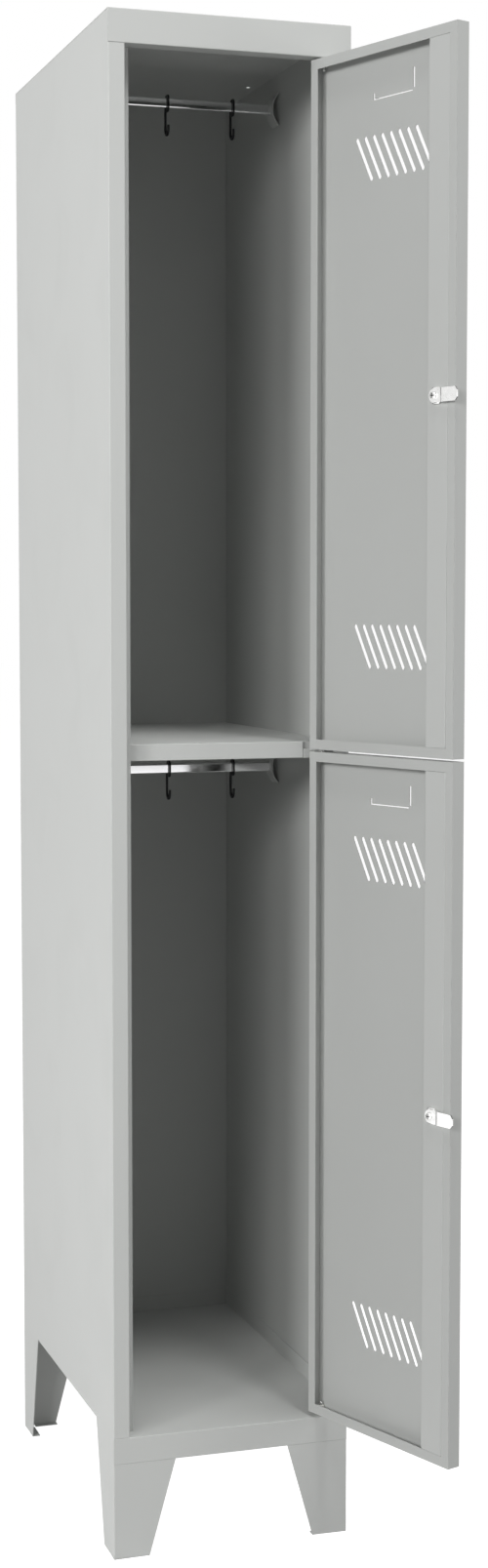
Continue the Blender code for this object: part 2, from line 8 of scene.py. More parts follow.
import json
import logging
import math
from dataclasses import dataclass
from enum import Enum
from functools import cache
from typing import Callable, Iterable, Sequence

import bmesh
import bpy
from mathutils import Matrix, Vector


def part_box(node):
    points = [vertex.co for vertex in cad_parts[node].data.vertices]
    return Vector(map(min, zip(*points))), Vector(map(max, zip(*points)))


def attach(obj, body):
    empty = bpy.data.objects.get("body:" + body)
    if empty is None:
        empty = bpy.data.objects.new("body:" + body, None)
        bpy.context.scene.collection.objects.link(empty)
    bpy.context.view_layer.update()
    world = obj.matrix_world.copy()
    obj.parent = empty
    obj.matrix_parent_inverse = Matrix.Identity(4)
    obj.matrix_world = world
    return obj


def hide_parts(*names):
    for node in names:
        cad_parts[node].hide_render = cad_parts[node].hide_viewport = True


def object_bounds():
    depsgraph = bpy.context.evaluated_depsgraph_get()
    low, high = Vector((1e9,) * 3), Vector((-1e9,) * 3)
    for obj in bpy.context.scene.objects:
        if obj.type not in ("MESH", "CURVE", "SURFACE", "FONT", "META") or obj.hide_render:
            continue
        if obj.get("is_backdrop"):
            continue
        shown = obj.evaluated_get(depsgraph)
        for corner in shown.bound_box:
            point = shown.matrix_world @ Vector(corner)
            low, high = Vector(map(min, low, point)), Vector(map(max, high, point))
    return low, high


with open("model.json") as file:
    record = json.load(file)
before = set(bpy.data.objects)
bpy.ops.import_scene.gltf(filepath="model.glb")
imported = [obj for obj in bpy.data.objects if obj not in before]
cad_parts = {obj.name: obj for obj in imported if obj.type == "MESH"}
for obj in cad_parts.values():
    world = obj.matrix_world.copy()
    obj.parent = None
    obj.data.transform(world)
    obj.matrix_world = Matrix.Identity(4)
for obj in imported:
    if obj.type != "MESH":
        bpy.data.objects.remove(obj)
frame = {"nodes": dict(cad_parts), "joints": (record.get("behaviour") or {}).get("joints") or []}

log = logging.getLogger("school_locker")

Box = tuple[float, float, float, float, float, float]
Point = tuple[float, float]
MM = 0.001
IN_PLACE = Matrix.Identity(4)


# ------------------------------------------------------------------ where things are
class Side(Enum):
    """Left or right of the cabinet, seen from the front."""

    LEFT = "left"
    RIGHT = "right"


class Level(Enum):
    """The two compartments."""

    UPPER = "upper"
    LOWER = "lower"


@dataclass(frozen=True)
class Place:
    """Turns cabinet millimetres, and a closed door's millimetres, into the row's metres.

    Args:
        base: the cabinet's front left floor corner, in metres.
        pivot: a point on the door hinge line, in metres.
        swing: how far the doors stand open at rest, in radians.
    """

    base: Vector
    pivot: Vector
    swing: float

    @classmethod
    def read(cls) -> "Place":
        """Read the cabinet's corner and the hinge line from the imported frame."""
        low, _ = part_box("left_side_panel")
        joint = next(j for j in frame["joints"] if j["name"] == "upper_door_swing")
        x, y, _ = joint["pos_m"]
        swing = math.radians(-joint["range_deg"][0])
        return cls(Vector((low.x, low.y, 0.0)), Vector((x, y, 0.0)), swing)

    def in_mm(self, box: Iterable[Vector]) -> list[Vector]:
        """Turn a box's corners in row metres into cabinet millimetres."""
        return [(corner - self.base) / MM for corner in box]

    def cabinet(self) -> Matrix:
        """Matrix from cabinet millimetres to row metres."""
        return Matrix.Translation(self.base) @ Matrix.Scale(MM, 4)

    def door(self) -> Matrix:
        """Matrix from a closed door's cabinet millimetres to the open door in row metres."""
        spin = Matrix.Rotation(self.swing, 4, "Z")
        return (Matrix.Translation(self.pivot) @ spin @ Matrix.Translation(-self.pivot)
                @ self.cabinet())


def shown(name: str, data: bpy.types.ID) -> bpy.types.Object:
    """Make an object of the data and link it to the scene."""
    made = bpy.data.objects.new(name, data)
    bpy.context.scene.collection.objects.link(made)
    return made


def as_mesh(name: str, bm: bmesh.types.BMesh) -> bpy.types.Mesh:
    """Turn a bmesh into a mesh, and free it."""
    mesh = bpy.data.meshes.new(name)
    bm.to_mesh(mesh)
    bm.free()
    return mesh


# ------------------------------------------------------------------ node tree helpers
class Tree:
    """Thin wrapper that adds nodes to a node group or a material tree and wires them."""

    KINDS = {float: "NodeSocketFloat", int: "NodeSocketInt", tuple: "NodeSocketVector"}

    def __init__(self, tree: bpy.types.NodeTree) -> None:
        """Keep the tree that the nodes go into."""
        self.tree = tree

    @classmethod
    def group(cls, name: str, inputs: dict[str, object], outputs: Sequence[str],
              kind: str = "Shader") -> "Tree":
        """Make a node group with named sockets.

        Args:
            name: the group's name.
            inputs: each input's starting value, or its socket type where it has none.
            outputs: the outputs' names.
            kind: Shader, whose outputs are numbers, or Geometry.

        Returns:
            The wrapper around the new group, with its inputs in given.
        """
        tree = bpy.data.node_groups.new(name, kind + "NodeTree")
        for title, start in inputs.items():
            bare = isinstance(start, str)
            socket = tree.interface.new_socket(
                title, in_out="INPUT", socket_type=start if bare else cls.KINDS[type(start)])
            if not bare:
                socket.default_value = start
        result = "NodeSocketFloat" if kind == "Shader" else "NodeSocketGeometry"
        for title in outputs:
            tree.interface.new_socket(title, in_out="OUTPUT", socket_type=result)
        made = cls(tree)
        made.given = made.add("NodeGroupInput").outputs
        return made

    def add(self, kind: str, feeds: dict[str | int, object] | None = None,
            **settings: object) -> bpy.types.Node:
        """Add a node.

        Args:
            kind: the node's type.
            feeds: a plain value, socket or node for each input, by name or number.
            settings: the node's properties.

        Returns:
            The node.
        """
        node = self.tree.nodes.new(kind)
        for key, value in settings.items():
            setattr(node, key, value)
        for key, value in (feeds or {}).items():
            self.feed(node.inputs[key], value)
        return node

    def feed(self, target: bpy.types.NodeSocket, value: object) -> None:
        """Wire a socket, or a node's first output, to an input, or set a plain value on it."""
        if isinstance(value, bpy.types.Node):
            value = value.outputs[0]
        if isinstance(value, bpy.types.NodeSocket):
            self.tree.links.new(value, target)
        else:
            target.default_value = value

    def math(self, operation: str, *terms: object) -> bpy.types.NodeSocket:
        """Add a Math node on numbers or sockets. Returns its result."""
        return self.add("ShaderNodeMath", dict(enumerate(terms)), operation=operation).outputs[0]

    def blend(self, one: object, two: object, share: float) -> bpy.types.NodeSocket:
        """Add a share of one value to the rest of another. Returns the sum's socket."""
        terms = []
        for value, part in ((one, share), (two, 1.0 - share)):
            node = self.add("ShaderNodeMath", {0: value, 1: part}, operation="MULTIPLY")
            terms.append(node.outputs[0])
        return self.math("ADD", *terms)

    def noise(self, where: object, scale: object, detail: float = 2.0,
              **others: float) -> bpy.types.Node:
        """Add a Noise Texture; others sets its other inputs. Returns the node."""
        return self.add("ShaderNodeTexNoise",
                        {"Vector": where, "Scale": scale, "Detail": detail, **others})

    def give(self, **results: object) -> bpy.types.NodeTree:
        """Wire the group's outputs. Returns the group."""
        self.add("NodeGroupOutput", results)
        return self.tree

    def give_dressed(self, geometry: object) -> bpy.types.NodeTree:
        """End a Geometry Nodes group: realized, and in its Material input. Returns the group."""
        flat = self.add("GeometryNodeRealizeInstances", {"Geometry": geometry})
        dressed = self.add("GeometryNodeSetMaterial",
                           {"Geometry": flat, "Material": self.given["Material"]})
        return self.give(Geometry=dressed)


# ------------------------------------------------------------------ shared surface effects
class Effects:
    """Shader groups that several finishes use, each built once."""

    @staticmethod
    @cache
    def orange_peel() -> bpy.types.NodeTree:
        """Fine pimpled skin of sprayed powder. Puts out a height and a soft mottling mask."""
        t = Tree.group("sprayed_skin", {"Vector": "NodeSocketVector", "Peel Scale": 520.0,
                                        "Cloud Scale": 3.0}, ["Height", "Tone"])
        where, scale = t.given["Vector"], t.given["Peel Scale"]
        peel = t.noise(where, scale, Roughness=0.45)
        fine = t.math("MULTIPLY", scale, 1.7)
        grit = t.add("ShaderNodeTexVoronoi", {"Vector": where, "Scale": fine}, feature="SMOOTH_F1")
        cloud = t.noise(where, t.given["Cloud Scale"], 3.0)
        return t.give(Height=t.blend(peel, grit, 0.65), Tone=cloud)

    @staticmethod
    @cache
    def handling() -> bpy.types.NodeTree:
        """Faint smudges and fine rubbed lines. Puts out a mask from 0, clean, to 1, rubbed."""
        t = Tree.group("handling_marks", {"Vector": "NodeSocketVector", "Smudge Scale": 9.0,
                                          "Line Scale": 60.0}, ["Mask"])
        where = t.given["Vector"]
        smudge = t.noise(where, t.given["Smudge Scale"], 4.0, Distortion=0.6)
        upright = t.add("ShaderNodeMapping", {"Vector": where, "Scale": (1.0, 1.0, 0.06)})
        lines = t.noise(upright, t.given["Line Scale"], 3.0)
        soft = t.add("ShaderNodeMapRange", {"Value": smudge, "From Min": 0.42, "From Max": 0.75})
        return t.give(Mask=t.blend(soft, lines, 0.7))

    @staticmethod
    @cache
    def brushing() -> bpy.types.NodeTree:
        """Fine rolled grain of plated metal. Puts out a height and a tone mask."""
        t = Tree.group("plated_grain", {"Vector": "NodeSocketVector", "Grain": (1.0, 1.0, 1.0)},
                       ["Height", "Tone"])
        where = t.given["Vector"]
        along = t.add("ShaderNodeVectorMath", {0: where, 1: t.given["Grain"]}, operation="MULTIPLY")
        grain = t.noise(along, 100.0, 4.0)
        return t.give(Height=grain, Tone=t.blend(grain, t.noise(where, 220.0), 0.5))


@dataclass(frozen=True)
class Finish:
    """Base of every finish: it makes its material once and hands it out after that."""

    name: str

    @cache
    def material(self) -> bpy.types.Material:
        """Return this finish's material, made on first use."""
        made = bpy.data.materials.new(self.name)
        made.use_nodes = True
        tree = Tree(made.node_tree)
        where = tree.add("ShaderNodeTexCoord").outputs["Object"]
        self.wire(tree, made.node_tree.nodes["Principled BSDF"], where)
        return made

    def wire(self, t: Tree, shader: bpy.types.Node, where: bpy.types.NodeSocket) -> None:
        """Fill in the shader; each finish does this its own way."""
        raise NotImplementedError

    @staticmethod
    def layers(t: Tree, shader: bpy.types.Node, where: bpy.types.NodeSocket,
               skin: tuple[bpy.types.NodeTree, dict[str, object]], smudge: float,
               tones: Iterable[Sequence[float]], gloss: tuple[float, float],
               relief: tuple[float, float]) -> None:
        """Wire a skin's tone and relief, and gloss that handling has changed, into a shader.

        Args:
            t: the material's tree.
            shader: its Principled shader.
            where: object coordinates.
            skin: the skin's group, and its own inputs.
            smudge: scale of the handling marks.
            tones: darkest and lightest colour.
            gloss: roughness where it is clean, and where it is rubbed.
            relief: the bump's strength and distance.
        """
        under = t.add("ShaderNodeGroup", {"Vector": where, **skin[1]}, node_tree=skin[0])
        marks = t.add("ShaderNodeGroup", {"Vector": where, "Smudge Scale": smudge},
                      node_tree=Effects.handling())
        colour = t.add("ShaderNodeValToRGB", {"Fac": under.outputs["Tone"]})
        for stop, at, tone in zip(colour.color_ramp.elements, (0.3, 0.7), tones):
            stop.position, stop.color = at, (*tone, 1.0)
        rough = t.add("ShaderNodeMapRange", {"Value": marks, "From Min": 0.3, "From Max": 0.7,
                                             "To Min": gloss[0], "To Max": gloss[1]})
        bump = t.add("ShaderNodeBump", {"Height": under.outputs["Height"], "Strength": relief[0],
                                        "Distance": relief[1]})
        for name, node in (("Base Color", colour), ("Roughness", rough), ("Normal", bump)):
            t.feed(shader.inputs[name], node)


@dataclass(frozen=True)
class PowderCoat(Finish):
    """Satin powder coat on sheet steel, with a fine orange-peel skin."""

    colour: tuple[float, float, float] = (0.515, 0.525, 0.512)
    vary: float = 0.006
    roughness: float = 0.47
    specular: float = 0.42

    def wire(self, t: Tree, shader: bpy.types.Node, where: bpy.types.NodeSocket) -> None:
        """Wire mottled grey, uneven gloss and the pimpled skin."""
        shader.inputs["Specular IOR Level"].default_value = self.specular
        tones = [[c + step for c in self.colour] for step in (-self.vary, self.vary)]
        self.layers(t, shader, where, (Effects.orange_peel(), {}), 9.0, tones,
                    (self.roughness - 0.015, self.roughness + 0.03), (0.10, 0.00025))


@dataclass(frozen=True)
class Plated(Finish):
    """Bright metal plating with a fine grain along one axis."""

    colour: tuple[float, float, float] = (0.78, 0.78, 0.77)
    roughness: float = 0.28
    grain: tuple[float, float, float] = (6.0, 6.0, 0.6)
    relief: float = 0.08

    def wire(self, t: Tree, shader: bpy.types.Node, where: bpy.types.NodeSocket) -> None:
        """Wire grain, smudges and the metal's tone."""
        shader.inputs["Metallic"].default_value = 1.0
        tones = [[c * share for c in self.colour] for share in (0.92, 1.0)]
        self.layers(t, shader, where, (Effects.brushing(), {"Grain": self.grain}), 40.0, tones,
                    (self.roughness * 0.8, self.roughness * 1.4), (self.relief, 0.0001))


@dataclass(frozen=True)
class Moulded(Finish):
    """Moulded plastic with a very fine spark-eroded skin."""

    colour: tuple[float, float, float] = (0.006, 0.006, 0.007)
    roughness: float = 0.42
    specular: float = 0.22

    def wire(self, t: Tree, shader: bpy.types.Node, where: bpy.types.NodeSocket) -> None:
        """Wire a fine skin and rubbed gloss."""
        shader.inputs["Specular IOR Level"].default_value = self.specular
        tones = [[c * share for c in self.colour] for share in (0.8, 1.2)]
        skin = (Effects.orange_peel(), {"Peel Scale": 1500.0, "Cloud Scale": 40.0})
        self.layers(t, shader, where, skin, 60.0, tones,
                    (self.roughness - 0.08, self.roughness + 0.1), (0.15, 0.0001))


BODY_COAT = PowderCoat("body_powder_coat")
DOOR_COAT = PowderCoat("door_powder_coat", roughness=0.45)
# Painted light: the stiffener's coat is a little lighter than the door's, for the extra light on
# its raised face.
STIFFENER_LIT_COAT = PowderCoat("stiffener_lit_powder_coat", colour=(0.545, 0.555, 0.542), roughness=0.45)
ZINC = Plated("bright_zinc_plate")
LOCK_ZINC = Plated("lock_zinc_plate", colour=(0.95, 0.95, 0.94), roughness=0.24, relief=0.015)
# Painted shade: a near-black plating for the cam's crease and tip chamfers and the screw's cross
# recess, where shade falls.
PAINTED_SHADE_ZINC = Plated("painted_shade_zinc_plate", colour=(0.11, 0.11, 0.11), roughness=0.42, relief=0.04)
CHROME = Plated("bar_chrome_plate", colour=(0.86, 0.86, 0.87), roughness=0.10,
                grain=(0.3, 8.0, 8.0), relief=0.02)
HOOK_BLACK = Moulded("hook_black_plastic")
BUSH_NYLON = Moulded("bush_white_nylon", colour=(0.74, 0.74, 0.70), roughness=0.5)


# ------------------------------------------------------------------ mesh making
class Metalwork:
    """Shapes that the sub-assemblies share, as bmeshes in millimetres where not said otherwise."""

    ROUND = 48
    RIM = 2.6
    SHORTEST = 6.0
    FOLD_ANGLE = 1.2

    @staticmethod
    def folded(boxes: Sequence[Box], cuts: Sequence[Box] = ()) -> bmesh.types.BMesh:
        """Join axis-aligned boxes into one closed sheet body, less the cuts.

        Args:
            boxes: low and high x, y and z of each piece of sheet.
            cuts: boxes taken out of the body.

        Returns:
            The body, with flat areas as single faces.
        """
        grid = [sorted({round(b[a + k], 4) for b in [*boxes, *cuts] for k in (0, 1)})
                for a in (0, 2, 4)]

        def inside(cell: tuple[int, int, int]) -> bool:
            mid = [(grid[a][n] + grid[a][n + 1]) / 2 for a, n in enumerate(cell)]

            def holds(b: Box) -> bool:
                return all(b[2 * a] < mid[a] < b[2 * a + 1] for a in range(3))
            return any(map(holds, boxes)) and not any(map(holds, cuts))

        spans = [range(len(g) - 1) for g in grid]
        filled = {(i, j, k) for i in spans[0] for j in spans[1] for k in spans[2]
                  if inside((i, j, k))}
        bm = bmesh.new()
        corners: dict[tuple[int, ...], bmesh.types.BMVert] = {}
        for cell in sorted(filled):
            for axis in range(3):
                for side in (0, 1):
                    beyond = list(cell)
                    beyond[axis] += 2 * side - 1
                    if tuple(beyond) in filled:
                        continue
                    b, c = (axis + 1) % 3, (axis + 2) % 3
                    ring = []
                    for p, q in ((0, 0), (1, 0), (1, 1), (0, 1))[::2 * side - 1]:
                        at = list(cell)
                        at[axis] += side
                        at[b] += p
                        at[c] += q
                        key = tuple(at)
                        if key not in corners:
                            place = [grid[a][n] for a, n in enumerate(key)]
                            corners[key] = bm.verts.new(place)
                        ring.append(corners[key])
                    bm.faces.new(ring)
        bmesh.ops.dissolve_limit(bm, angle_limit=math.radians(0.5), verts=bm.verts, edges=bm.edges)
        return bm

    @staticmethod
    def from_node(node: str) -> bmesh.types.BMesh:
        """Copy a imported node's mesh, merged and with flat areas as single faces, in metres."""
        bm = bmesh.new()
        bm.from_mesh(frame["nodes"][node].data)
        bmesh.ops.remove_doubles(bm, verts=bm.verts, dist=1e-6)
        bmesh.ops.dissolve_limit(bm, angle_limit=math.radians(0.3), verts=bm.verts, edges=bm.edges)
        return bm

    @classmethod
    def round_bends(cls, bm: bmesh.types.BMesh, unit: float, outer: float = 1.3,
                    inner: float = 0.5, steps: int = 3) -> None:
        """Round the folds of a sheet body, and leave its cut rims sharp.

        Args:
            bm: the body.
            unit: how many of the body's units make a millimetre.
            outer: radius outside a fold, in millimetres.
            inner: radius inside a fold, in millimetres.
            steps: segments in each radius.
        """
        def wide(face: bmesh.types.BMFace) -> bool:
            longest = max(edge.calc_length() for edge in face.edges)
            return face.calc_area() / longest > cls.RIM * unit

        for convex, radius in ((True, outer), (False, inner)):
            bends = [edge for edge in bm.edges
                     if len(edge.link_faces) == 2 and edge.calc_length() > cls.SHORTEST * unit
                     and edge.is_convex == convex and edge.calc_face_angle(0.0) > cls.FOLD_ANGLE
                     and all(map(wide, edge.link_faces))]
            if bends:
                bmesh.ops.bevel(bm, geom=bends, offset=radius * unit, segments=steps, profile=0.5,
                                affect="EDGES", clamp_overlap=True)

    @staticmethod
    def skin(bm: bmesh.types.BMesh, rings: Sequence[Sequence[Sequence[float]]]
             ) -> bmesh.types.BMesh:
        """Add a closed body over rings of points, one after another. Returns the bmesh."""
        rings = [[bm.verts.new(spot) for spot in ring] for ring in rings]
        faces = [bm.faces.new(rings[0]), bm.faces.new(rings[-1])]
        for one, two in zip(rings, rings[1:]):
            for n in range(len(one)):
                m = (n + 1) % len(one)
                faces.append(bm.faces.new((one[n], one[m], two[m], two[n])))
        bmesh.ops.recalc_face_normals(bm, faces=faces)
        return bm

    @classmethod
    def prism(cls, outline: Sequence[Point], axis: int, low: float, high: float,
              bm: bmesh.types.BMesh | None = None) -> bmesh.types.BMesh:
        """Extrude an outline along an axis (0, 1 or 2). Returns the closed body."""
        rings = [[(*spot[:axis], level, *spot[axis:]) for spot in outline]
                 for level in (low, high)]
        return cls.skin(bm or bmesh.new(), rings)

    @classmethod
    def lathe(cls, profile: Sequence[Point], axis: int,
              centre: Sequence[float]) -> bmesh.types.BMesh:
        """Turn a profile of (radius, height) points round an axis. Returns the closed body."""
        middle = [*centre[:axis], *centre[axis + 1:]]
        rings = [[(*spot[:axis], centre[axis] + height, *spot[axis:])
                  for spot in cls.circle(*middle, radius)] for radius, height in profile]
        return cls.skin(bmesh.new(), rings)

    @staticmethod
    def circle(p: float, q: float, radius: float, count: int = ROUND) -> list[Point]:
        """Points of a circle."""
        turns = [2 * math.pi * n / count for n in range(count)]
        return [(p + radius * math.cos(turn), q + radius * math.sin(turn)) for turn in turns]

    @staticmethod
    def rounded(p: float, q: float, width: float, height: float, radius: float,
                steps: int = 8) -> list[Point]:
        """Points of a rectangle with rounded corners."""
        points = []
        for sx, sy, start in ((1, 1, 0), (-1, 1, 90), (-1, -1, 180), (1, -1, 270)):
            cp, cq = p + sx * (width / 2 - radius), q + sy * (height / 2 - radius)
            for n in range(steps + 1):
                turn = math.radians(start + 90 * n / steps)
                points.append((cp + radius * math.cos(turn), cq + radius * math.sin(turn)))
        return points

    @staticmethod
    def boolean(base: bmesh.types.BMesh, tool: bmesh.types.BMesh,
                operation: str = "DIFFERENCE") -> bmesh.types.BMesh:
        """Join or cut two closed bodies with the exact solver. Returns the result."""
        holders = [shown("working", as_mesh("working", bm)) for bm in (base, tool)]
        step = holders[0].modifiers.new("cut", "BOOLEAN")
        step.operation, step.solver, step.object = operation, "EXACT", holders[1]
        result = bmesh.new()
        graph = bpy.context.evaluated_depsgraph_get()
        result.from_mesh(holders[0].evaluated_get(graph).to_mesh())
        for holder in holders:
            bpy.data.objects.remove(holder, do_unlink=True)
        return result


class Workshop:
    """Publishes finished pieces: in place, dressed and riding on a body."""

    def __init__(self, place: Place) -> None:
        """Keep the place that turns millimetres into metres."""
        self.place = place
        self.carcass: list[bpy.types.Object] = []

    def publish(self, name: str, mesh: bpy.types.Mesh, body: str, slot: str, finish: Finish,
                nodes: Iterable[str], smooth: float = 0.0) -> bpy.types.Object:
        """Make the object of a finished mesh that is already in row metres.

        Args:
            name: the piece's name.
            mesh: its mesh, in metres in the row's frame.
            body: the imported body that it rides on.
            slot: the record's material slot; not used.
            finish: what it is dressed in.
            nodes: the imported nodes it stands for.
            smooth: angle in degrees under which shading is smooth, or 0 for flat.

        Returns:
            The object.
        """
        mesh.materials.clear()
        mesh.materials.append(finish.material())
        for face in mesh.polygons:
            face.use_smooth = smooth > 0
            face.material_index = 0
        if smooth:
            mesh.set_sharp_from_angle(angle=math.radians(smooth))
        piece = shown(name, mesh)
        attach(piece, body)
        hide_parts(*nodes)
        if body == "cabinet":
            self.carcass.append(piece)
        log.info("%s: %d faces on %s", name, len(mesh.polygons), body)
        return piece

    def from_bmesh(self, name: str, bm: bmesh.types.BMesh, at: Matrix, *rest: object,
                   **more: object) -> bpy.types.Object:
        """Publish a bmesh after moving it by a matrix; the other arguments are publish's."""
        bm.transform(at)
        return self.publish(name, as_mesh(name, bm), *rest, **more)

    def refold(self, node: str, body: str, finish: Finish = BODY_COAT,
               bm: bmesh.types.BMesh | None = None) -> bpy.types.Object:
        """Publish a packed sheet node, or a body made from it, with its folds rounded."""
        bm = bm or Metalwork.from_node(node)
        Metalwork.round_bends(bm, MM)
        return self.from_bmesh(node + "_folded", bm, IN_PLACE, body, "powder_coat", finish, [node])

    @staticmethod
    def paint_shade(piece: bpy.types.Object, at: Matrix, shaded: Callable[[Vector, Vector], bool]) -> None:
        """Paint shade on the faces of a plated piece that the test picks, in a near-black plating.

        Args:
            piece: the finished piece.
            at: the matrix that put it in place.
            shaded: test of a face's middle and direction, before it was put in place.
        """
        # Painted shade: the picked faces get a near-black plating in place of the shade that falls
        # there.
        piece.data.materials.append(PAINTED_SHADE_ZINC.material())
        back = at.inverted()
        for face in piece.data.polygons:
            way = (back.to_3x3() @ face.normal).normalized()
            if shaded(back @ face.center, way):
                face.material_index = 1


# ------------------------------------------------------------------ Geometry Nodes
class Grown:
    """Geometry Nodes trees for what repeats or follows a path, each built once."""

    @staticmethod
    @cache
    def slot_punch() -> bpy.types.NodeTree:
        """Cut two rows of slanted round-ended slots through a sheet, as a punch tool does."""
        zero = (0.0, 0.0, 0.0)
        t = Tree.group("slot_punch", {
            "Geometry": "NodeSocketGeometry", "Count": 8, "Pitch": zero, "Length": 0.06,
            "Width": 0.004, "Depth": 0.006, "Tilt": zero, "Upper Start": zero,
            "Lower Start": zero, "Material": "NodeSocketMaterial"}, ["Geometry"], "Geometry")
        i = t.given
        outline = t.add("GeometryNodeCurvePrimitiveQuadrilateral",
                        {"Width": i["Width"], "Height": i["Length"]})
        ends = t.add("GeometryNodeFilletCurve", {
            "Curve": outline, "Count": 6, "Radius": t.math("MULTIPLY", i["Width"], 0.499)},
            mode="POLY")
        line_ends = [t.add("ShaderNodeCombineXYZ", {"Z": t.math("MULTIPLY", i["Depth"], way)})
                     for way in (-0.5, 0.5)]
        run = t.add("GeometryNodeCurvePrimitiveLine", {"Start": line_ends[0], "End": line_ends[1]})
        cutter = t.add("GeometryNodeCurveToMesh",
                       {"Curve": run, "Profile Curve": ends, "Fill Caps": True})
        rows = t.add("GeometryNodeJoinGeometry")
        for start in ("Upper Start", "Lower Start"):
            line = t.add("GeometryNodeMeshLine", {"Count": i["Count"], "Start Location": i[start],
                                                  "Offset": i["Pitch"]}, mode="OFFSET")
            t.feed(rows.inputs[0], line)
        punch = t.add("GeometryNodeInstanceOnPoints",
                      {"Points": rows, "Instance": cutter, "Rotation": i["Tilt"]})
        solid = t.add("GeometryNodeRealizeInstances", {"Geometry": punch})
        return t.give_dressed(t.add("GeometryNodeMeshBoolean", {
            "Mesh 1": i["Geometry"], "Mesh 2": solid}, operation="DIFFERENCE", solver="EXACT"))

    @staticmethod
    @cache
    def path_sweep() -> bpy.types.NodeTree:
        """Sweep a rounded bar section along a filleted path: the hooks' bands and stems."""
        t = Tree.group("path_sweep", {
            "Geometry": "NodeSocketGeometry", "Across": 0.003, "Thick": 0.003, "Edge": 0.0008,
            "Corner": 0.003, "Material": "NodeSocketMaterial"}, ["Geometry"], "Geometry")
        i = t.given
        bend = t.add("GeometryNodeFilletCurve", {
            "Curve": i["Geometry"], "Count": 5, "Limit Radius": True, "Radius": i["Corner"]},
            mode="POLY")
        section = t.add("GeometryNodeCurvePrimitiveQuadrilateral",
                        {"Width": i["Across"], "Height": i["Thick"]})
        ease = t.add("GeometryNodeFilletCurve",
                     {"Curve": section, "Count": 3, "Radius": i["Edge"]}, mode="POLY")
        return t.give_dressed(t.add("GeometryNodeCurveToMesh", {
            "Curve": bend, "Profile Curve": ease, "Fill Caps": True}))

    @staticmethod
    def run(data: bpy.types.ID, tree: bpy.types.NodeTree,
            values: dict[str, object]) -> bpy.types.Mesh:
        """Run a tree on a mesh or curve and keep the result as a plain mesh.

        Args:
            data: the mesh or curve that feeds the tree.
            tree: the node group.
            values: inputs by socket name.

        Returns:
            The evaluated mesh.
        """
        source = shown("source", data)
        modifier = source.modifiers.new("grow", "NODES")
        modifier.node_group = tree
        names = {item.name: item.identifier for item in tree.interface.items_tree
                 if item.item_type == "SOCKET" and item.in_out == "INPUT"}
        for name, value in values.items():
            modifier[names[name]] = value
        graph = bpy.context.evaluated_depsgraph_get()
        mesh = bpy.data.meshes.new_from_object(source.evaluated_get(graph), depsgraph=graph)
        source.modifiers.clear()
        bpy.data.objects.remove(source, do_unlink=True)
        return mesh


# ------------------------------------------------------------------ sub-assemblies
@dataclass
class Cabinet:
    """Folded sheet carcass on its legs, with the fixed hinge hardware."""

    shop: Workshop
    weld_gap: float = 0.29
    weld_edges: tuple[float, float] = (117.7, 149.7)
    sheets: tuple[str, ...] = ("left_side_panel", "right_side_panel", "top_panel", "back_panel",
                               "floor_panel", "middle_shelf", "middle_hinge_bracket")
    legs: tuple[str, ...] = ("leg_front_left", "leg_front_right", "leg_rear_left",
                             "leg_rear_right")
    pins: tuple[str, ...] = ("top_hinge_pin", "middle_hinge_pin", "bottom_hinge_pin")

    def build(self) -> None:
        """Make every sheet piece with rounded folds, and dress the pins."""
        for node in self.sheets:
            self.shop.refold(node, "cabinet")
        for node in self.legs:
            self.leg(node)
        for node in self.pins:
            self.pin(node)

    def leg(self, node: str) -> None:
        """Refold a leg and bring its welded top edges up against the sheets above."""
        bm = Metalwork.from_node(node)
        for vert in bm.verts:
            for edge in self.weld_edges:
                if abs(vert.co.z / MM - edge) < 0.05:
                    vert.co.z += self.weld_gap * MM
        self.shop.refold(node, "cabinet", bm=bm)

    def pin(self, node: str) -> None:
        """Turn a hinge pin with eased ends from its packed outline."""
        axis = self.shop.place.pivot
        bm = Metalwork.from_node(node)
        levels = sorted({round(v.co.z, 6) for v in bm.verts})
        profile: list[Point] = []
        for one, two in zip(levels, levels[1:]):
            mid = (one + two) / 2
            radius = max((v.co.xy - axis.xy).length for v in bm.verts
                         if one - 1e-7 <= v.co.z <= two + 1e-7 and self.crosses(v, mid))
            ease = min(0.0003, radius * 0.2, (two - one) * 0.3)
            profile += [(radius - ease, one), (radius, one + ease), (radius, two - ease),
                        (radius - ease, two)]
        bm.free()
        turned = Metalwork.lathe(profile, 2, (axis.x, axis.y, 0.0))
        self.shop.from_bmesh(node + "_turned", turned, IN_PLACE, "cabinet", "zinc_plate", ZINC,
                             [node], smooth=40.0)

    @staticmethod
    def crosses(vert: bmesh.types.BMVert, level: float) -> bool:
        """Whether an upright edge of the vertex crosses a level."""
        return any((e.verts[0].co.z - level) * (e.verts[1].co.z - level) < 0
                   and (e.verts[0].co.xy - e.verts[1].co.xy).length < 1e-5
                   for e in vert.link_edges)


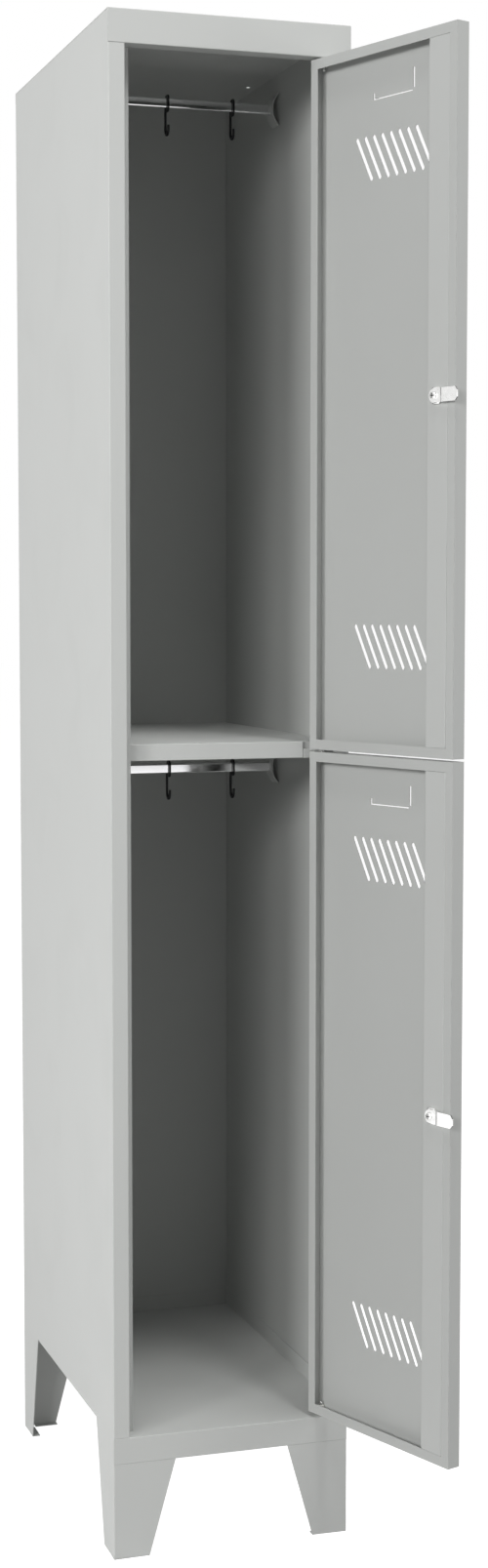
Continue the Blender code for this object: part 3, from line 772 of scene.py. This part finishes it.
@dataclass
class HangingBar:
    """Chromed bar across one compartment, held by an arched clip at each end."""

    shop: Workshop
    level: Level
    depth: float = 8.0
    height: float = 12.5
    corner: float = 2.0
    wall: float = 1.0
    bow: float = 9.0
    bow_power: float = 0.8
    strip: float = 1.5
    span: float = 42.0
    steps: int = 32
    gap: float = 0.3
    ease: float = 0.35
    panel: float = 1.3
    cabinet_width: float = 300.0

    def build(self) -> None:
        """Make the bar and both clips."""
        node = f"{self.level.value}_hanging_bar"
        low, high = self.shop.place.in_mm(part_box(node))
        y, z = (low.y + high.y) / 2, (low.z + high.z) / 2
        outer = Metalwork.rounded(y, z, self.depth, self.height, self.corner)
        bm = Metalwork.prism(outer, 0, low.x, high.x)
        bore = Metalwork.rounded(y, z, self.depth - 2 * self.wall, self.height - 2 * self.wall,
                                 self.corner - self.wall)
        bm = Metalwork.boolean(bm, Metalwork.prism(bore, 0, low.x - 5, high.x + 5))
        self.shop.from_bmesh(node + "_tube", bm, self.shop.place.cabinet(), "cabinet",
                             "bar_chrome", CHROME, [node], smooth=35.0)
        for side in Side:
            self.clip(side, y, z)

    def clip(self, side: Side, y: float, z: float) -> None:
        """Bend the arched strip that carries one end of the bar."""
        node = f"{self.level.value}_bar_clip_{side.value}"
        low, high = self.shop.place.in_mm(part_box(node))
        wall, last = self.panel + self.strip / 2, self.steps
        spine = [Vector((wall + self.bow * math.sin(math.pi * n / last) ** self.bow_power,
                         z + self.span * (n / last - 0.5))) for n in range(last + 1)]
        near, far = [], []
        for n, point in enumerate(spine):
            run = (spine[min(n + 1, last)] - spine[max(n - 1, 0)]).normalized()
            across = Vector((-run.y, run.x)) * self.strip / 2
            near.append(point + across)
            far.append(point - across)
        outline = [(p.x, p.y) for p in near + far[::-1]]
        bm = Metalwork.prism(outline, 1, low.y, high.y)
        edges = [e for e in bm.edges if abs(e.verts[0].co.y - e.verts[1].co.y) < 1e-4]
        bmesh.ops.bevel(bm, geom=edges, offset=self.ease, segments=2, affect="EDGES",
                        profile=0.5, clamp_overlap=True)
        hole = Metalwork.rounded(y, z, self.depth + 2 * self.gap, self.height + 2 * self.gap,
                                 self.corner)
        bm = Metalwork.boolean(bm, Metalwork.prism(hole, 0, -5, 30))
        if side is Side.RIGHT:
            bm.transform(Matrix.Translation((self.cabinet_width, 0, 0))
                         @ Matrix.Diagonal((-1, 1, 1, 1)))
            bmesh.ops.reverse_faces(bm, faces=bm.faces)
        self.shop.from_bmesh(node + "_strip", bm, self.shop.place.cabinet(), "cabinet",
                             "powder_coat", BODY_COAT, [node], smooth=35.0)


@dataclass
class CoatHook:
    """Black plastic hook: a band round the bar and a J that hangs behind it."""

    shop: Workshop
    level: Level
    where: str
    band: tuple[float, float] = (5.2, 2.0)
    stem: tuple[float, float] = (3.0, 2.8)
    drop: float = 31.0
    bowl: float = 9.0
    tip_drop: float = 28.0
    front: float = 7.2
    back: float = 6.6
    half: float = 9.5
    sag: float = 0.3
    root: float = 5.7
    rear: float = 7.6
    steps: int = 16
    edge: float = 0.7

    def build(self) -> None:
        """Sweep the band and the stem, and join them as one piece."""
        node = f"{self.level.value}_hook_{self.where}"
        low, high = self.shop.place.in_mm(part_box(node))
        x = (low.x + high.x) / 2
        low, high = self.shop.place.in_mm(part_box(f"{self.level.value}_hanging_bar"))
        y, z = (low.y + high.y) / 2, (low.z + high.z) / 2
        sheet = self.band[1] / 2
        front, back = y - self.front + sheet, y + self.back - sheet
        top, foot = z - self.sag + self.half - sheet, z - self.sag - self.half + sheet
        ring = [(front, top), (back, top), (back, foot), (front, foot)]
        parts = [self.sweep(x, ring, True, self.band, 3.2)]
        rear = y + self.rear
        path = [(y + self.root, z - 1.0), (rear - 0.6, z - 7.0), (rear, z - 12.0),
                (rear, z - self.drop)]
        reach = (self.rear + self.front) / 2 - 0.5
        for n in range(1, self.steps + 1):
            turn = math.pi * n / self.steps
            path.append((rear - reach + reach * math.cos(turn),
                         z - self.drop - self.bowl * math.sin(turn)))
        path.append((rear - 2 * reach - 0.2, z - self.tip_drop))
        parts.append(self.sweep(x, path, False, self.stem, 0.6))
        bm = bmesh.new()
        for mesh in parts:
            bm.from_mesh(mesh)
        self.shop.from_bmesh(node + "_moulded", bm, IN_PLACE,
                             f"{self.level.value}_{self.where}_hook", "hook_plastic",
                             HOOK_BLACK, [node], smooth=40.0)

    def sweep(self, x: float, path: Sequence[Point], closed: bool, size: tuple[float, float],
              corner: float) -> bpy.types.Mesh:
        """Sweep a section along a path in the upright plane at x. Returns the mesh in metres."""
        curve = bpy.data.curves.new("hook_path", "CURVE")
        curve.dimensions = "3D"
        spline = curve.splines.new("POLY")
        spline.points.add(len(path) - 1)
        matrix = self.shop.place.cabinet()
        for point, (y, z) in zip(spline.points, path):
            point.co = (*(matrix @ Vector((x, y, z))), 1.0)
        spline.use_cyclic_u = closed
        return Grown.run(curve, Grown.path_sweep(), {
            "Across": size[1] * MM, "Thick": size[0] * MM, "Edge": self.edge * MM,
            "Corner": corner * MM, "Material": HOOK_BLACK.material()})


@dataclass
class Door:
    """Door tray with its stiffener, bushes, slots and pressed label holder."""

    shop: Workshop
    level: Level
    free_x: float = 21.5
    hinge_x: float = 278.0
    depth: float = 17.5
    lip: float = 12.0
    sheet: float = 1.0
    label_u: tuple[float, float] = (96.0, 167.4)
    label_drop: tuple[float, float] = (33.0, 60.0)
    proud: float = 1.6
    rim: float = 5.0
    slot_length: float = 59.0
    slot_width: float = 5.2
    slot_tilt: float = 28.3
    slot_pitch: float = 15.0
    slot_first: float = 79.0
    slot_edge: float = 126.0
    slot_count: int = 8
    lock_u: float = 226.5
    lock_hole: float = 8.3
    pin_hole: float = 4.2
    bush_outer: float = 3.9
    bush_bore: float = 2.58
    bush_ease: float = 0.25

    def build(self) -> None:
        """Make the tray with its slots, and refold the stiffener."""
        self.tray()
        key = self.level.value
        # The stiffener wears the lighter coat: painted light on its raised face.
        self.shop.refold(f"{key}_door_stiffener", f"{key}_door", STIFFENER_LIT_COAT)
        for end in ("top", "bottom"):
            self.bush(f"{key}_door_bush_{end}")

    def tray(self) -> None:
        """Fold the tray, press the label holder, drill it, and punch the slots."""
        node = f"{self.level.value}_door_panel"
        place = self.shop.place
        low, high = place.in_mm(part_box(node))
        z0, z1 = low.z, high.z
        bm = self.folded_tray(z0, z1)
        Metalwork.round_bends(bm, 1.0)
        lock_spot = (self.hinge_x - self.lock_u, (z0 + z1) / 2)
        drills = Metalwork.prism(Metalwork.circle(*lock_spot, self.lock_hole), 1, -2, 3)
        pivot, = place.in_mm([place.pivot])
        pin_hole = Metalwork.circle(pivot.x, pivot.y, self.pin_hole)
        for level in (z0, z1):
            Metalwork.prism(pin_hole, 2, level - 2, level + 2, drills)
        bm = Metalwork.boolean(bm, drills)
        door = place.door()
        bm.transform(door)
        mesh = as_mesh(node, bm)
        mesh.materials.append(DOOR_COAT.material())

        def start(level: float) -> tuple[float, ...]:
            return tuple(door @ Vector((self.hinge_x - self.slot_first, self.sheet / 2, level)))

        tilt = (Matrix.Rotation(place.swing, 3, "Z")
                @ Matrix.Rotation(math.radians(self.slot_tilt), 3, "Y")
                @ Matrix.Rotation(math.radians(90), 3, "X")).to_euler()
        made = Grown.run(mesh, Grown.slot_punch(), {
            "Count": self.slot_count, "Tilt": tuple(tilt), "Length": self.slot_length * MM,
            "Pitch": tuple(door.to_3x3() @ Vector((-self.slot_pitch, 0, 0))),
            "Width": self.slot_width * MM, "Depth": 5 * MM, "Material": DOOR_COAT.material(),
            "Upper Start": start(z1 - self.slot_edge), "Lower Start": start(z0 + self.slot_edge)})
        self.shop.publish(node + "_punched", made, f"{self.level.value}_door", "powder_coat",
                          DOOR_COAT, [node])

    def folded_tray(self, z0: float, z1: float) -> bmesh.types.BMesh:
        """Fold the tray with turned lips and the label holder's rim. Returns the body."""
        x0, x1, t, s = self.free_x, self.hinge_x, self.depth, self.sheet
        u0, u1 = x1 - self.label_u[1], x1 - self.label_u[0]
        top, low = z1 - self.label_drop[0], z1 - self.label_drop[1]
        out, rim, lip = -self.proud, self.rim, self.lip
        boxes = [
            (x0, x1, 0, s, z0, z1), (x0, x0 + s, 0, t, z0, z1), (x1 - s, x1, 0, t, z0, z1),
            (x0, x1, 0, t, z0, z0 + s), (x0, x1, 0, t, z1 - s, z1),
            (x0, x0 + lip, t - s, t, z0, z1), (x1 - lip, x1, t - s, t, z0, z1),
            (x0, x1, t - s, t, z0, z0 + lip), (x0, x1, t - s, t, z1 - lip, z1),
            (u0 - 1, u0, out, s, low - 1, top),
            (u0 - 1, u1 + 2, out, s, low - 1, low),
            (u1 - 2.4, u1 - 1.4, out, s, low + 1.4, top),
            (u1 - 1.4 - rim, u1 - 1.4, out, out + 0.8, low + 1.4, top),
        ]
        cuts = [(u0, u0 + 2.9, -0.01, s + 0.01, low + 3.5, top - 0.5),
                (u0 + 3.9, u1, -0.01, s + 0.01, low, low + 1.4),
                (u1 - 1.4, u1 + 1, -0.01, s + 0.01, low, low + 8.0)]
        return Metalwork.folded(boxes, cuts)

    def bush(self, node: str) -> None:
        """Turn a nylon bush with eased rims."""
        low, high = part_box(node)
        axis = self.shop.place.pivot
        outer, bore, ease = (v * MM for v in (self.bush_outer, self.bush_bore, self.bush_ease))
        profile = [(outer - ease, low.z), (outer, low.z + ease), (outer, high.z - ease),
                   (outer - ease, high.z)]
        bm = Metalwork.lathe(profile, 2, (axis.x, axis.y, 0))
        hole = Metalwork.circle(axis.x, axis.y, bore)
        bm = Metalwork.boolean(bm, Metalwork.prism(hole, 2, low.z - 0.01, high.z + 0.01))
        self.shop.from_bmesh(node + "_turned", bm, IN_PLACE, f"{self.level.value}_door",
                             "bush_nylon", BUSH_NYLON, [node], smooth=40.0)


@dataclass
class CamLock:
    """Cam lock at the middle of a door's free side."""

    shop: Workshop
    level: Level
    lock_x: float = 51.5
    barrel: float = 8.0
    plug: float = 5.4
    run: float = 0.08
    barrel_end: float = 20.8
    nut: tuple[float, float] = (17.8, 20.5)
    nut_corner: float = 10.8
    face: float = 11.0
    cam_v: tuple[float, float] = (21.3, 23.6)
    cam_thick: float = 1.5
    cam_reach: float = 41.0
    cam_half: float = 8.0
    crease: tuple[float, float, float] = (11.1, 11.8, 12.5)
    screw_bore: float = 2.3
    head: float = 4.2
    cross: tuple[float, float] = (2.9, 0.6)

    @property
    def under_head(self) -> float:
        """How far in from the door's face the screw's head starts."""
        return self.cam_v[0] + self.cam_thick + 0.3

    def build(self) -> None:
        """Make the housing, nut, plug, cam and screw."""
        low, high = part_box(f"{self.level.value}_door_panel")
        self.centre = (self.lock_x, 0.0, (low.z + high.z) / 2 / MM)
        key = self.level.value
        door, cam = f"{key}_door", f"{key}_cam"
        self.put("lock_housing", "turned", self.housing(), door)
        self.put("lock_nut", "cut", self.hex_nut(), door)
        self.put("lock_plug", "turned", self.key_plug(), cam)
        self.put("lock_cam", "pressed", self.cam(), cam)
        self.put("cam_screw", "headed", self.screw(), cam)

    def put(self, node: str, how: str, bm: bmesh.types.BMesh, body: str) -> None:
        """Publish one lock piece in the open door's place."""
        name = f"{self.level.value}_{node}"
        at = self.shop.place.door()
        piece = self.shop.from_bmesh(f"{name}_{how}", bm, at, body, "zinc_plate", LOCK_ZINC,
                                     [name], smooth=35.0)
        # The cam's crease and tip chamfers and the screw's cross recess get painted shade, a
        # near-black plating where shade falls.
        if node in ("lock_cam", "cam_screw"):
            self.shop.paint_shade(piece, at, self.on_cam if node == "lock_cam" else self.in_recess)

    def on_cam(self, spot: Vector, way: Vector) -> bool:
        """Whether a face of the cam gets painted shade: in the crease or on a chamfered corner of
        the tip.
        """
        reach = self.centre[0] - spot.x
        pressed = way.y > 0.3 and self.crease[0] < reach < self.crease[2]
        return pressed or (abs(way.x) > 0.3 and abs(way.z) > 0.3 and reach > self.cam_reach - 4)

    def in_recess(self, spot: Vector, way: Vector) -> bool:
        """Whether a face of the screw gets painted shade: inside the cross in its head."""
        off = math.hypot(spot.x - self.centre[0], spot.z - self.centre[2])
        return off < 3.0 and 0.6 < spot.y - self.under_head < 2.0

    def bore(self, radius: float, low: float, high: float) -> bmesh.types.BMesh:
        """A round cutter along the lock's axis."""
        x, _, z = self.centre
        return Metalwork.prism(Metalwork.circle(x, z, radius), 1, low, high)

    def housing(self) -> bmesh.types.BMesh:
        """Flanged barrel with a domed rim outside and rolled thread rings inside the door."""
        face = self.face
        profile = [(face - 3.4, -2.8), (face - 0.8, -2.6), (face, -1.9), (face, -0.3),
                   (self.barrel, -0.3), (self.barrel, 2.0)]
        level = 2.0
        while level < self.barrel_end - 1.5:
            profile += [(self.barrel, level + 0.25), (self.barrel - 0.35, level + 0.6),
                        (self.barrel, level + 0.95)]
            level += 1.0
        profile += [(self.barrel, self.barrel_end - 0.4), (self.barrel - 0.4, self.barrel_end)]
        bm = Metalwork.lathe(profile, 1, self.centre)
        return Metalwork.boolean(bm, self.bore(self.plug + self.run, -5, 30))

    def hex_nut(self) -> bmesh.types.BMesh:
        """Hexagon nut with turned-off corners."""
        x, _, z = self.centre
        outline = Metalwork.circle(x, z, self.nut_corner, 6)
        bm = Metalwork.prism(outline, 1, *self.nut)
        inner, outer = self.nut_corner - 1.3, self.nut_corner + 0.3
        turned = Metalwork.lathe([(inner, self.nut[0]), (outer, self.nut[0] + 0.9),
                                  (outer, self.nut[1] - 0.9), (inner, self.nut[1])], 1, self.centre)
        bm = Metalwork.boolean(bm, turned, "INTERSECT")
        return Metalwork.boolean(bm, self.bore(self.barrel + 0.3, 10, 30))

    def key_plug(self) -> bmesh.types.BMesh:
        """Plug with a keyway and a screw hole in its tail."""
        x, _, z = self.centre
        profile = [(self.plug - 0.6, -3.2), (self.plug, -2.9), (self.plug, 20.7),
                   (self.plug - 0.3, 21.0)]
        bm = Metalwork.lathe(profile, 1, self.centre)
        bm = Metalwork.boolean(bm, Metalwork.folded([(x - 0.6, x + 0.6, -5, 6, z - 3.6, z + 3.6)]))
        return Metalwork.boolean(bm, self.bore(self.screw_bore, 12, 30))

    def cam(self) -> bmesh.types.BMesh:
        """Flat cam with a round hub end, a pressed crease, a joggle and a chamfered tip."""
        x, _, z = self.centre
        half, (low, high) = self.cam_half, self.cam_v
        turns = [math.pi / 2 * n / 16 for n in range(1, 17)]
        stations = [(-half * math.cos(turn), half * math.sin(turn), low) for turn in turns]
        stations += [(reach, half, low) for reach in self.crease]
        rise, tip = self.crease[2] + 1.3, self.cam_reach
        stations += [(rise, half, low), (rise + 0.3, half, low + 0.25),
                     (rise + 1.1, half, high - 0.25), (rise + 1.4, half, high),
                     (tip - 3.4, half, high), (tip - 3.0, half - 0.3, high),
                     (tip - 0.2, half - 3.7, high), (tip, half - 4.1, high)]
        rings = []
        for reach, half, v in stations:
            thick = self.cam_thick - (0.5 if reach == self.crease[1] else 0.0)
            rings.append([(x - reach, v + dv, z + w) for dv, w in
                          ((0, -half), (thick, -half), (thick, half), (0, half))])
        bm = Metalwork.skin(bmesh.new(), rings)
        return Metalwork.boolean(bm, self.bore(self.screw_bore, 19, 25))

    def screw(self) -> bmesh.types.BMesh:
        """Pan-headed cross-slotted screw."""
        x, _, z = self.centre
        under, head = self.under_head, self.head
        profile = [(1.6, 13.0), (2.0, 13.4), (2.0, under), (head, under), (head, under + 1.5),
                   (head - 0.3, under + 2.0), (head - 0.8, under + 2.15), (0.8, under + 2.2)]
        bm = Metalwork.lathe(profile, 1, self.centre)
        for p, q in (self.cross[::-1], self.cross):
            slot = [(x - p, x + p, under + 0.8, under + 4, z - q, z + q)]
            bm = Metalwork.boolean(bm, Metalwork.folded(slot))
        return bm


# ------------------------------------------------------------------ studio
@dataclass
class Studio:
    """Camera, pale floor and soft lights."""

    place: Place
    eye: tuple[float, float, float] = (-0.7093, -2.7336, 1.1621)
    tilt: float = 85.64
    turn: float = -17.746
    lens: float = 54.71
    ambient: float = 0.02
    mirrored: float = 0.95
    aim: tuple[float, float, float] = (0.15, 0.1, 0.95)
    reach: float = 6.0
    panel_size: float = 1.3
    panels: tuple[tuple[str, float, float, float], ...] = (
        ("key_panel", -39.0, 17.0, 85.0), ("key_side_panel", -56.0, 14.0, 130.0),
        ("top_left_panel", -20.0, 62.0, 55.0), ("top_right_panel", 22.0, 68.0, 195.0),
        ("right_low_panel", 44.0, 3.0, 38.0),
    )
    side_panel: tuple[str, float, float, float] = ("side_panel_light", -88.0, 6.0, 105.0)
    paper: float = 0.4
    glow: float = 0.99
    floor_half: float = 40.0
    sensor: float = 36.0

    def camera(self) -> None:
        """Place the camera, and show colours as they are."""
        bpy.context.scene.view_settings.view_transform = "Standard"
        data = bpy.data.cameras.new("view_camera")
        data.lens, data.sensor_width, data.sensor_fit = self.lens, self.sensor, "AUTO"
        data.clip_end = 50.0
        eye = shown("view_camera", data)
        eye.location = self.place.base + Vector(self.eye)
        eye.rotation_euler = (math.radians(self.tilt), 0.0, math.radians(self.turn))
        bpy.context.scene.camera = eye

    def floor(self) -> None:
        """Lay a wide pale floor that looks as white as the surroundings."""
        mesh = bpy.data.meshes.new("studio_floor")
        size = self.floor_half
        mesh.from_pydata([(-size, -size, 0), (size, -size, 0), (size, size, 0), (-size, size, 0)],
                         [], [(0, 1, 2, 3)])
        floor = shown("studio_floor", mesh)
        paper = bpy.data.materials.new("studio_paper")
        paper.use_nodes = True
        t = Tree(paper.node_tree)
        shader = paper.node_tree.nodes["Principled BSDF"]
        for name, value in (("Base Color", (self.paper, self.paper, self.paper, 1.0)),
                            ("Roughness", 0.9), ("Specular IOR Level", 0.0)):
            t.feed(shader.inputs[name], value)
        glow = t.add("ShaderNodeEmission", {"Strength": self.glow})
        total = t.add("ShaderNodeAddShader", {0: shader, 1: glow})
        path = t.add("ShaderNodeLightPath")
        mix = t.add("ShaderNodeMixShader", {0: path.outputs["Is Diffuse Ray"], 1: total, 2: shader})
        t.feed(paper.node_tree.nodes["Material Output"].inputs["Surface"], mix)
        mesh.materials.append(paper)
        floor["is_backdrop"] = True

    def lights(self) -> None:
        """Hang the lights and set the surrounding white."""
        world = bpy.data.worlds.new("studio_white")
        bpy.context.scene.world = world
        world.use_nodes = True
        t = Tree(world.node_tree)
        white = world.node_tree.nodes["Background"]
        t.feed(white.inputs["Color"], (1, 1, 1, 1))
        path = t.add("ShaderNodeLightPath")
        seen, lit = path.outputs["Is Camera Ray"], path.outputs["Is Diffuse Ray"]
        direct = t.math("MULTIPLY", seen, 1.0 - self.mirrored)
        soft = t.math("MULTIPLY", lit, self.mirrored - self.ambient)
        t.feed(white.inputs["Strength"],
               t.math("SUBTRACT", t.math("ADD", direct, self.mirrored), soft))
        for panel in self.panels:
            self.panel(*panel)

    def side_light(self, pieces: Sequence[bpy.types.Object]) -> None:
        """Hang the light that only reaches the carcass, so the doors keep their shade."""
        lit = bpy.data.collections.new("side_lit")
        for piece in pieces:
            lit.objects.link(piece)
        self.panel(*self.side_panel).light_linking.receiver_collection = lit

    def panel(self, name: str, turn: float, rise: float, power: float) -> bpy.types.Object:
        """Hang one soft square light on a ring round the cabinet.

        Args:
            name: the light's name.
            turn: degrees round from straight in front, positive to the right.
            rise: degrees above the level of the aim point.
            power: watts.

        Returns:
            The light.
        """
        data = bpy.data.lights.new(name, "AREA")
        data.shape, data.size, data.energy = "SQUARE", self.panel_size, power
        light = shown(name, data)
        a, e = math.radians(turn), math.radians(rise)
        away = Vector((math.sin(a) * math.cos(e), -math.cos(a) * math.cos(e), math.sin(e)))
        light.location = self.place.base + Vector(self.aim) + away * self.reach
        light.rotation_euler = (-away).to_track_quat("-Z", "Y").to_euler()
        return light


def corners() -> list[list[float]]:
    """The shown object's box as plain numbers."""
    return [list(map(float, corner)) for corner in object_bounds()]


def main() -> None:
    """Build the locker in order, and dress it."""
    logging.basicConfig(level=logging.INFO, format="%(name)s %(message)s")
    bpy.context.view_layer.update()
    place = Place.read()
    studio = Studio(place)
    studio.camera()
    studio.floor()
    studio.lights()
    shop = Workshop(place)
    Cabinet(shop).build()
    for level in Level:
        HangingBar(shop, level).build()
        for where in ("left", "middle", "right"):
            CoatHook(shop, level, where).build()
        Door(shop, level).build()
        CamLock(shop, level).build()
    studio.side_light(shop.carcass)


if __name__ == "__main__":
    main()
